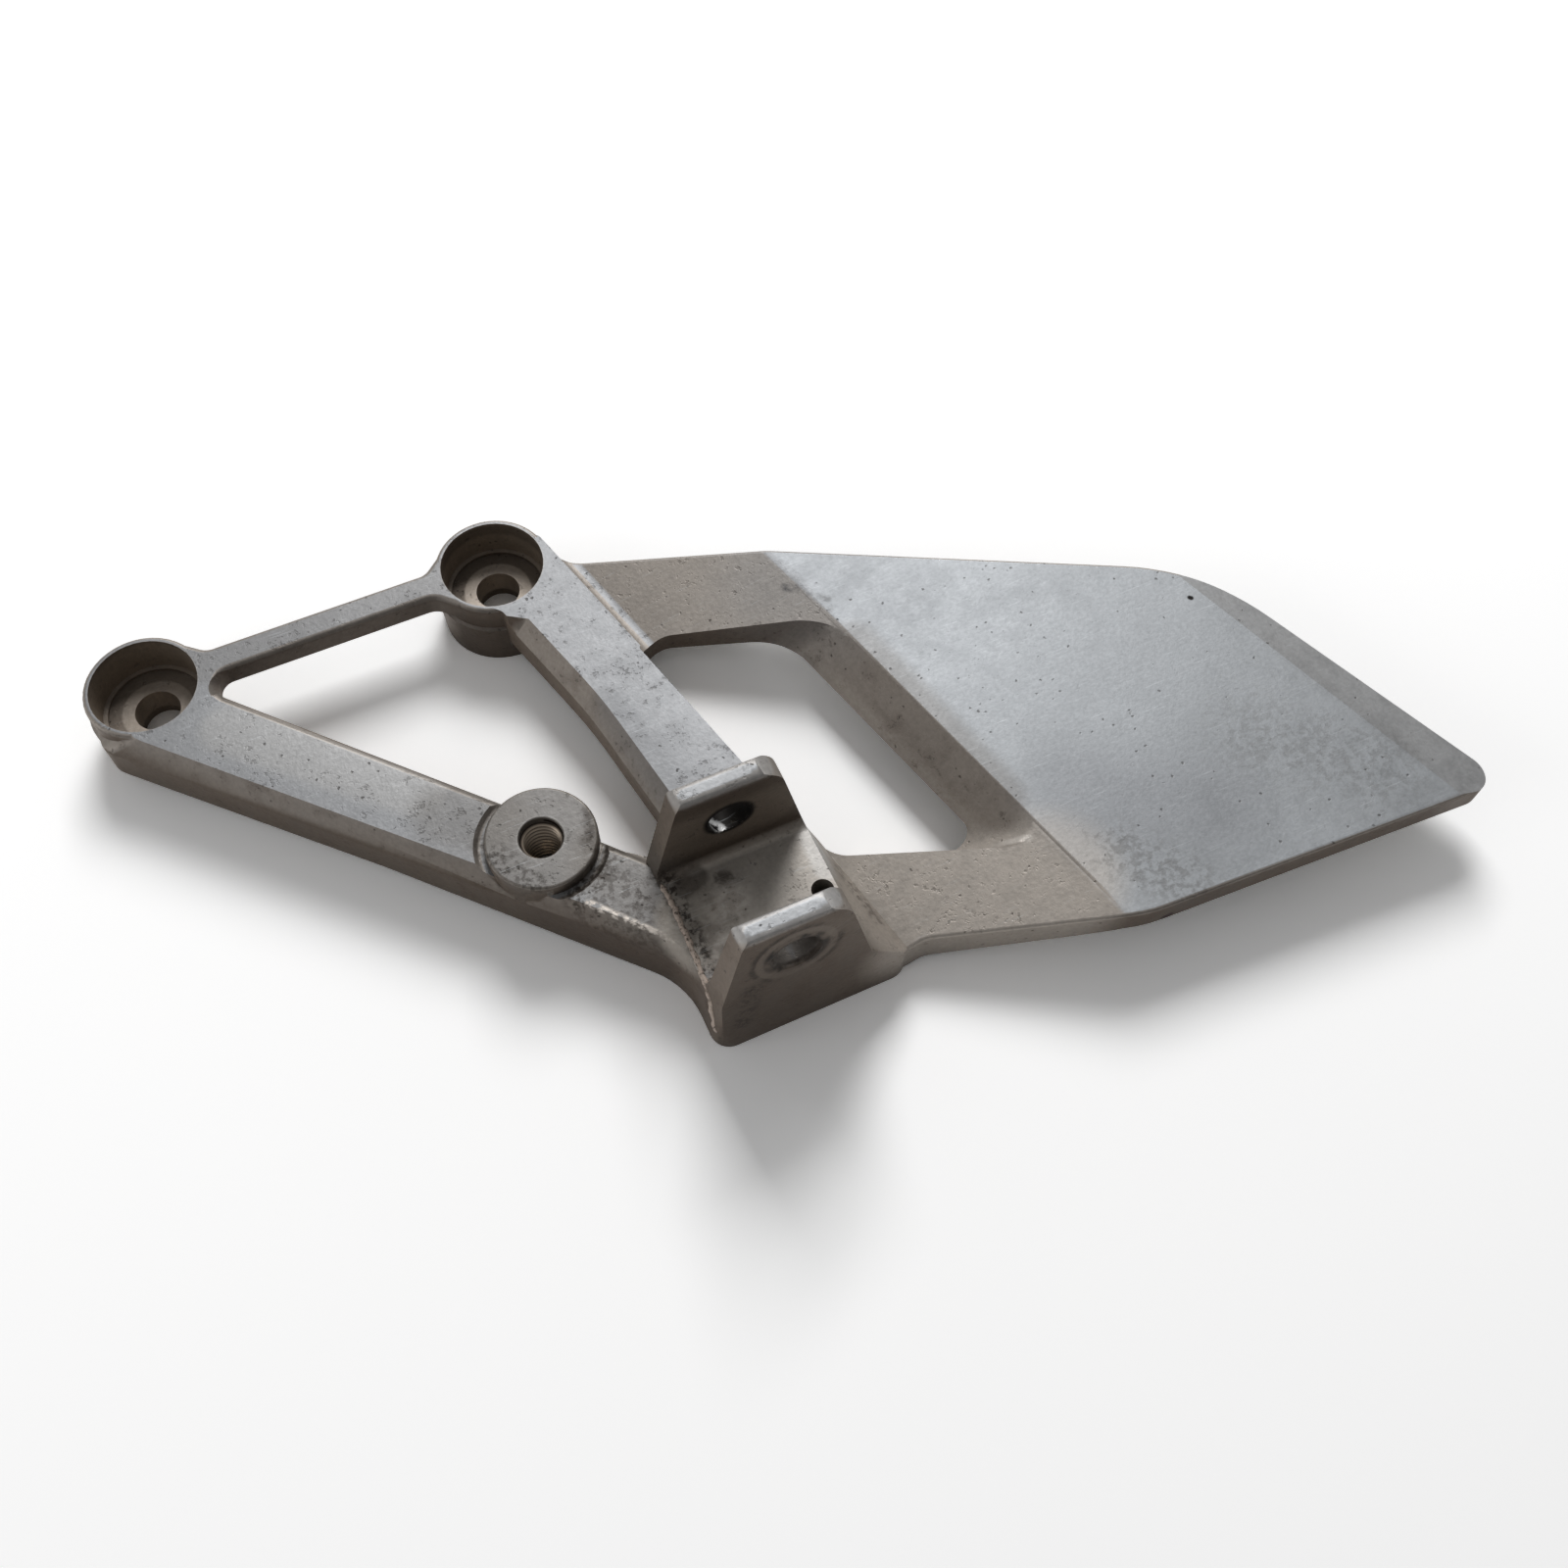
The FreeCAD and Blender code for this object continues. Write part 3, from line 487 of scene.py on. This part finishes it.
def buildCasting():
    # the CAD mesh with its doubles merged, its flat faces joined and its outside corners worn round
    form = castingForm
    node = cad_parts["hanger_casting"]
    mesh = node.data.copy()
    mesh.name = "castingSkin"
    work = bmesh.new()
    work.from_mesh(mesh)
    bmesh.ops.remove_doubles(work, verts=work.verts, dist=form["mergeMm"] * mm)
    bmesh.ops.dissolve_limit(work, angle_limit=math.radians(form["flatAngle"]),
                             verts=work.verts, edges=work.edges)
    weight = work.edges.layers.float.new("bevel_weight_edge")
    width = {face: face.calc_area() / max(edge.calc_length() for edge in face.edges) for face in work.faces}
    for edge in work.edges:
        turn = math.degrees(edge.calc_face_angle_signed(0.0))
        wide = all(width[face] > form["wideFaceMm"] * mm for face in edge.link_faces)
        if turn > (form["edgeAngle"] if wide else form["creaseAngle"]):
            edge[weight] = 1.0
        elif abs(turn) > (form["faintCrease"] if wide else form["creaseAngle"]):
            edge.smooth = False
    work.to_mesh(mesh)
    work.free()
    reshapeSkin(mesh)
    mesh.materials.clear()
    mesh.materials.append(castAluminium("castAluminium", False))
    mesh.materials.append(castAluminium("wornCastAluminium", True))
    skin = bpy.data.objects.new("castingSkin", mesh)
    bpy.context.scene.collection.objects.link(skin)
    smoothShade(skin)
    bevel = skin.modifiers.new("wornEdges", "BEVEL")
    bevel.width = form["edgeRoundMm"] * mm
    bevel.segments = form["edgeSegments"]
    bevel.limit_method = "WEIGHT"
    bevel.material = 1
    flatten = skin.modifiers.new("flatFaces", "WEIGHTED_NORMAL")
    flatten.keep_sharp = True
    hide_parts("hanger_casting")
    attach(skin, "root")
    print("casting", len(mesh.vertices), "points")


# Thread in the boss

threadForm = {
    "centreMm": (57.2, -62.2),
    "outerRadiusMm": 4.02,
    "innerRadiusMm": 3.38,
    "pitchMm": 1.25,
    "lowMm": 3.0,
    "highMm": 17.0,
    "aroundSteps": 56,
    # share of the pitch and share of the depth
    "profile": ((0.0, 0.0), (0.06, 0.0), (0.42, 1.0), (0.58, 1.0), (0.94, 0.0), (1.0, 0.0)),
}


# Tapped aluminium: the crests are bright where the tap cut them, the roots between are dark with old oil
# and painted shade
threadLook = {
    "bright": "#c2b3a2",
    "oilAndShade": "#2e2620",
    "crestMm": 3.5,     # distances from the axis at which the colour is all crest and all root
    "rootMm": 3.85,
    "roughness": 0.38,
    "metallic": 0.9,
}


def cutThread():
    look = threadLook
    material, tree = newMaterial("tappedAluminium")
    place = addNode(tree, "TexCoord", {}, {}, "Object")
    place = addNode(tree, "VectorMath", {"operation": "SCALE"}, {0: place, "Scale": 1000.0})
    flat = addNode(tree, "VectorMath", {"operation": "MULTIPLY"}, {0: place, 1: (1.0, 1.0, 0.0)})
    radius = addNode(tree, "VectorMath", {"operation": "DISTANCE"},
                     {0: flat, 1: threadForm["centreMm"] + (0.0,)}, 1)
    share = addNode(tree, "MapRange", {}, {"Value": radius, "From Min": look["rootMm"],
                                           "From Max": look["crestMm"]})
    base = addNode(tree, "Mix", {"data_type": "RGBA"},
                   {0: share, 6: linearColour(look["oilAndShade"]), 7: linearColour(look["bright"])}, 2)
    shader = addNode(tree, "BsdfPrincipled", {}, {"Base Color": base, "Roughness": look["roughness"],
                                                  "Metallic": look["metallic"]})
    addNode(tree, "OutputMaterial", {}, {"Surface": shader})
    return material


def buildThread():
    # a ridge profile carried up a helix: over one pitch the radius falls from the wall to the crest and
    # goes back, and the ridge fades in and out over half a turn at its two ends
    form = threadForm
    turns = (form["highMm"] - form["lowMm"]) / form["pitchMm"]
    angle = np.linspace(0.0, 2.0 * math.pi * turns, int(form["aroundSteps"] * turns))
    share, inward = np.array(form["profile"]).T
    run = np.clip(np.minimum(angle, angle[-1] - angle) / math.pi, 0.0, 1.0)
    depth = (form["outerRadiusMm"] - form["innerRadiusMm"]) * run[:, None] * inward[None, :]
    radius = form["outerRadiusMm"] - depth
    height = form["lowMm"] + form["pitchMm"] * (angle[:, None] / (2.0 * math.pi) + share[None, :] - 0.5)
    points = np.stack([form["centreMm"][0] + radius * np.cos(angle)[:, None],
                       form["centreMm"][1] + radius * np.sin(angle)[:, None],
                       height], axis=-1) * mm
    thread = meshFromGrid("bossThread", points)
    thread.data.materials.append(cutThread())
    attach(thread, "root")
    print("thread", len(thread.data.vertices), "points")


# Seam along the fork

seamForm = {
    "pathMm": ((73.6, -78.2, 16.2), (73.75, -81, 16), (73.8, -85, 16), (73.7, -89, 16), (73.6, -93.5, 16),
               (73.5, -96.5, 16), (73.3, -98.9, 16.1), (73.1, -100.8, 15.8), (72.95, -102.3, 15.0),
               (72.7, -104.0, 9.0), (72.75, -104.8, 4.5)),
    "widthMm": 0.55,
    "heightMm": 0.42,
    "sinkMm": 0.12,
    "outward": (-0.45, -0.30, 1.0),
    "taperMm": 1.5,
    "tipShare": 0.02,
    "steps": 240,
    "aroundSteps": 14,
    "smoothOver": 9,
    "waver": (0.75, 1.2),
    "waverKnots": 46,
    "driftKnots": 30,
    "driftMm": 0.16,
    "seed": 4,
}


# Rough cast aluminium where the two halves of the mould met: pale beige oxide that dirt has caught in
seamLook = {
    "pale": "#c4b5a9",
    "dirt": "#40372f",
    "speckSizeMm": 0.7,
    "speckAt": (0.5, 0.66),
    "relief": 0.6,
    "reliefMm": 0.2,
    "roughness": 0.65,
    "metallic": 0.5,
}


def roughSeam():
    look = seamLook
    material, tree = newMaterial("roughCastSeam")
    place = addNode(tree, "TexCoord", {}, {}, "Object")
    speck = addNode(tree, "TexNoise", {}, {"Vector": place, "Scale": 1.0 / (look["speckSizeMm"] * mm),
                                           "Detail": 4.0, "Roughness": 0.65})
    share = addNode(tree, "MapRange", {}, {"Value": speck, "From Min": look["speckAt"][0],
                                           "From Max": look["speckAt"][1]})
    base = addNode(tree, "Mix", {"data_type": "RGBA"},
                   {0: share, 6: linearColour(look["pale"]), 7: linearColour(look["dirt"])}, 2)
    bump = addNode(tree, "Bump", {}, {"Strength": look["relief"], "Distance": look["reliefMm"] * mm,
                                      "Height": speck})
    shader = addNode(tree, "BsdfPrincipled", {}, {"Base Color": base, "Roughness": look["roughness"],
                                                  "Metallic": look["metallic"], "Normal": bump})
    addNode(tree, "OutputMaterial", {}, {"Surface": shader})
    return material


def buildSeam():
    # a low rounded rib: an ellipse half sunk in the casting and carried along the joint line, its middle
    # drifting from side to side and its size wavering, down to a tip at the two ends
    form = seamForm
    knots = np.array(form["pathMm"])
    lengths = np.concatenate([[0.0], np.cumsum(np.linalg.norm(np.diff(knots, axis=0), axis=1))])
    s = np.linspace(0.0, lengths[-1], form["steps"])
    centre = np.stack([np.interp(s, lengths, knots[:, k]) for k in range(3)], axis=-1)
    kernel = np.ones(form["smoothOver"]) / form["smoothOver"]
    spare = form["smoothOver"] // 2
    padded = np.pad(centre, ((spare, spare), (0, 0)), mode="edge")
    centre = np.stack([np.convolve(padded[:, k], kernel, "valid") for k in range(3)], axis=-1)
    along = np.gradient(centre, axis=0)
    along /= np.linalg.norm(along, axis=1)[:, None]
    lean = np.array(form["outward"])
    outward = lean - along * (along @ lean)[:, None]
    outward /= np.linalg.norm(outward, axis=1)[:, None]
    side = np.cross(along, outward)
    random = np.random.default_rng(form["seed"])
    waverAt = np.linspace(0.0, lengths[-1], form["waverKnots"])
    waver = np.interp(s, waverAt, random.uniform(*form["waver"], form["waverKnots"]))
    driftAt = np.linspace(0.0, lengths[-1], form["driftKnots"])
    sway = form["driftMm"]
    drift = np.interp(s, driftAt, random.uniform(-sway, sway, form["driftKnots"]))
    size = waver * np.clip(np.minimum(s, lengths[-1] - s) / form["taperMm"], form["tipShare"], 1.0)
    around = form["aroundSteps"]
    turn = np.linspace(0.0, 2.0 * math.pi, around, endpoint=False)
    rise = form["heightMm"] * size[:, None] * np.sin(turn)[None, :] - form["sinkMm"]
    reach = form["widthMm"] * size[:, None] * np.cos(turn)[None, :] + drift[:, None]
    points = (centre[:, None, :] + side[:, None, :] * reach[..., None]
              + outward[:, None, :] * rise[..., None]) * mm
    seam = meshFromGrid("forkSeam", points, closed=True)
    rings = [range(around), range((form["steps"] - 1) * around, form["steps"] * around)]
    work = bmesh.new()
    work.from_mesh(seam.data)
    work.verts.ensure_lookup_table()
    for ring in rings:
        work.faces.new([work.verts[k] for k in ring])
    bmesh.ops.recalc_face_normals(work, faces=work.faces)
    work.to_mesh(seam.data)
    work.free()
    smoothShade(seam)
    seam.data.materials.append(roughSeam())
    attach(seam, "root")
    print("seam", len(seam.data.vertices), "points")


# Table, light and camera

studio = {
    "floor": "#f2f2f2",
    "floorSize": 3.0,
    # the three hole values below paint a shadow on the table, down in the holes of the casting
    "paintedHoleShadow": 0.3,                       # share of the table's colour left down in a deep hole
    "paintedHoleShadowAt": (0.08, 0.35),                 # share of the sky that is open
    "paintedHoleShadowReachMm": 14.0,
    "floorMiddle": (0.106, -0.056, 0.0),
    "floorFade": (0.24, 0.50),              # from the middle, where the far floor turns plain white
    "floorSeen": (1.45, 1.45, 1.45, 1.0),   # what the camera and the metal see of the floor
    "surround": 0.23,
    "panels": {                             # side, place, target, watts
        "keyPanel": (0.52, (0.46, 0.745, 0.90), (0.1, -0.05, 0.0), 9.6),
        "fillPanel": (0.50, (-0.65, -0.05, 0.30), (0.1, -0.05, 0.0), 0.9),
    },
    "cameraMm": (37.938, -195.923, 274.816),
    "azimuth": 26.892,
    "elevation": 61.235,
    "roll": 2.37,
    "focalPixels": 1626.579,
    "framePixels": 1600.0,
    "sensorMm": 36.0,
    "clipStart": 0.01,
}


def buildFloor():
    # a square table that takes the shadow, bright to the camera, plain white far out, with a painted shadow
    # darkening it down in holes
    half = studio["floorSize"] / 2.0
    grid = np.array([[[-half, -half, 0.0], [-half, half, 0.0]], [[half, -half, 0.0], [half, half, 0.0]]])
    floor = meshFromGrid("table", grid)
    material, tree = newMaterial("paleTable")
    seen = addNode(tree, "Math", {"operation": "MAXIMUM"},
                   {0: addNode(tree, "LightPath", {}, {}, "Is Camera Ray"),
                    1: addNode(tree, "LightPath", {}, {}, "Is Glossy Ray")})
    colour = addNode(tree, "Mix", {"data_type": "RGBA"},
                     {0: seen, 6: linearColour(studio["floor"]), 7: studio["floorSeen"]}, 2)
    # painted shadow: the table darkens where little of the sky is open, down in the casting's holes
    openness = addNode(tree, "AmbientOcclusion", {"samples": 8},
                       {"Distance": studio["paintedHoleShadowReachMm"] * mm}, "AO")
    shade = addNode(tree, "MapRange", {}, {"Value": openness, "From Min": studio["paintedHoleShadowAt"][0],
                                           "From Max": studio["paintedHoleShadowAt"][1],
                                           "To Min": studio["paintedHoleShadow"], "To Max": 1.0})
    colour = addNode(tree, "VectorMath", {"operation": "SCALE"}, {0: colour, "Scale": shade})
    lit = addNode(tree, "BsdfDiffuse", {}, {"Color": colour})
    white = addNode(tree, "Emission", {}, {"Color": (1.0, 1.0, 1.0, 1.0), "Strength": 1.0})
    place = addNode(tree, "TexCoord", {}, {}, "Object")
    away = addNode(tree, "VectorMath", {"operation": "DISTANCE"},
                   {0: place, 1: studio["floorMiddle"]}, 1)
    near, far = studio["floorFade"]
    fade = addNode(tree, "MapRange", {"interpolation_type": "SMOOTHSTEP"},
                   {"Value": away, "From Min": near, "From Max": far})
    fade = addNode(tree, "Math", {"operation": "MULTIPLY"}, {0: fade, 1: seen})
    shader = addNode(tree, "MixShader", {}, {0: fade, 1: lit, 2: white})
    addNode(tree, "OutputMaterial", {}, {"Surface": shader})
    floor.data.materials.append(material)


def buildWorld():
    # white where the camera looks, weaker where it lights the casting
    world = bpy.data.worlds.new("softSurround")
    bpy.context.scene.world = world
    world.use_nodes = True
    tree = world.node_tree
    tree.nodes.clear()
    seen = addNode(tree, "LightPath", {}, {}, "Is Camera Ray")
    strength = addNode(tree, "MapRange", {}, {"Value": seen, "To Min": studio["surround"], "To Max": 1.0})
    background = addNode(tree, "Background", {}, {"Color": (1.0, 1.0, 1.0, 1.0), "Strength": strength})
    addNode(tree, "OutputWorld", {}, {"Surface": background})


def buildPanels():
    # square soft lamps, each turned to its target: one behind the casting on its right, a weak one left
    for name, (side, place, target, watts) in studio["panels"].items():
        light = bpy.data.lights.new(name, "AREA")
        light.size = side
        light.energy = watts
        lamp = bpy.data.objects.new(name, light)
        back = np.array(place) - np.array(target)
        back = back / np.linalg.norm(back)
        across = np.cross((0.0, 1.0, 0.0), back)
        across = across / np.linalg.norm(across)
        up = np.cross(back, across)
        rows = [[across[k], up[k], back[k], place[k]] for k in range(3)]
        lamp.matrix_world = Matrix(rows + [[0, 0, 0, 1]])
        bpy.context.scene.collection.objects.link(lamp)


def buildCamera():
    # a long look down at the casting; roll turns the picture about the line of sight
    azimuth = math.radians(studio["azimuth"])
    elevation = math.radians(studio["elevation"])
    roll = math.radians(studio["roll"])
    forward = np.array([math.sin(azimuth) * math.cos(elevation), math.cos(azimuth) * math.cos(elevation),
                        -math.sin(elevation)])
    level = np.array([math.cos(azimuth), -math.sin(azimuth), 0.0])
    upright = np.cross(level, forward)
    right = math.cos(roll) * level + math.sin(roll) * upright
    up = math.cos(roll) * upright - math.sin(roll) * level
    place = np.array(studio["cameraMm"]) * mm
    camera = bpy.data.cameras.new("camera")
    camera.sensor_width = studio["sensorMm"]
    camera.lens = studio["sensorMm"] * studio["focalPixels"] / studio["framePixels"]
    camera.clip_start = studio["clipStart"]
    eye = bpy.data.objects.new("camera", camera)
    rows = [[right[k], up[k], -forward[k], place[k]] for k in range(3)]
    eye.matrix_world = Matrix(rows + [[0, 0, 0, 1]])
    bpy.context.scene.collection.objects.link(eye)
    bpy.context.scene.camera = eye


buildCasting()
buildThread()
buildSeam()
buildFloor()
buildWorld()
buildPanels()
buildCamera()
bpy.context.scene.view_settings.view_transform = "Standard"
print("stage and camera set")
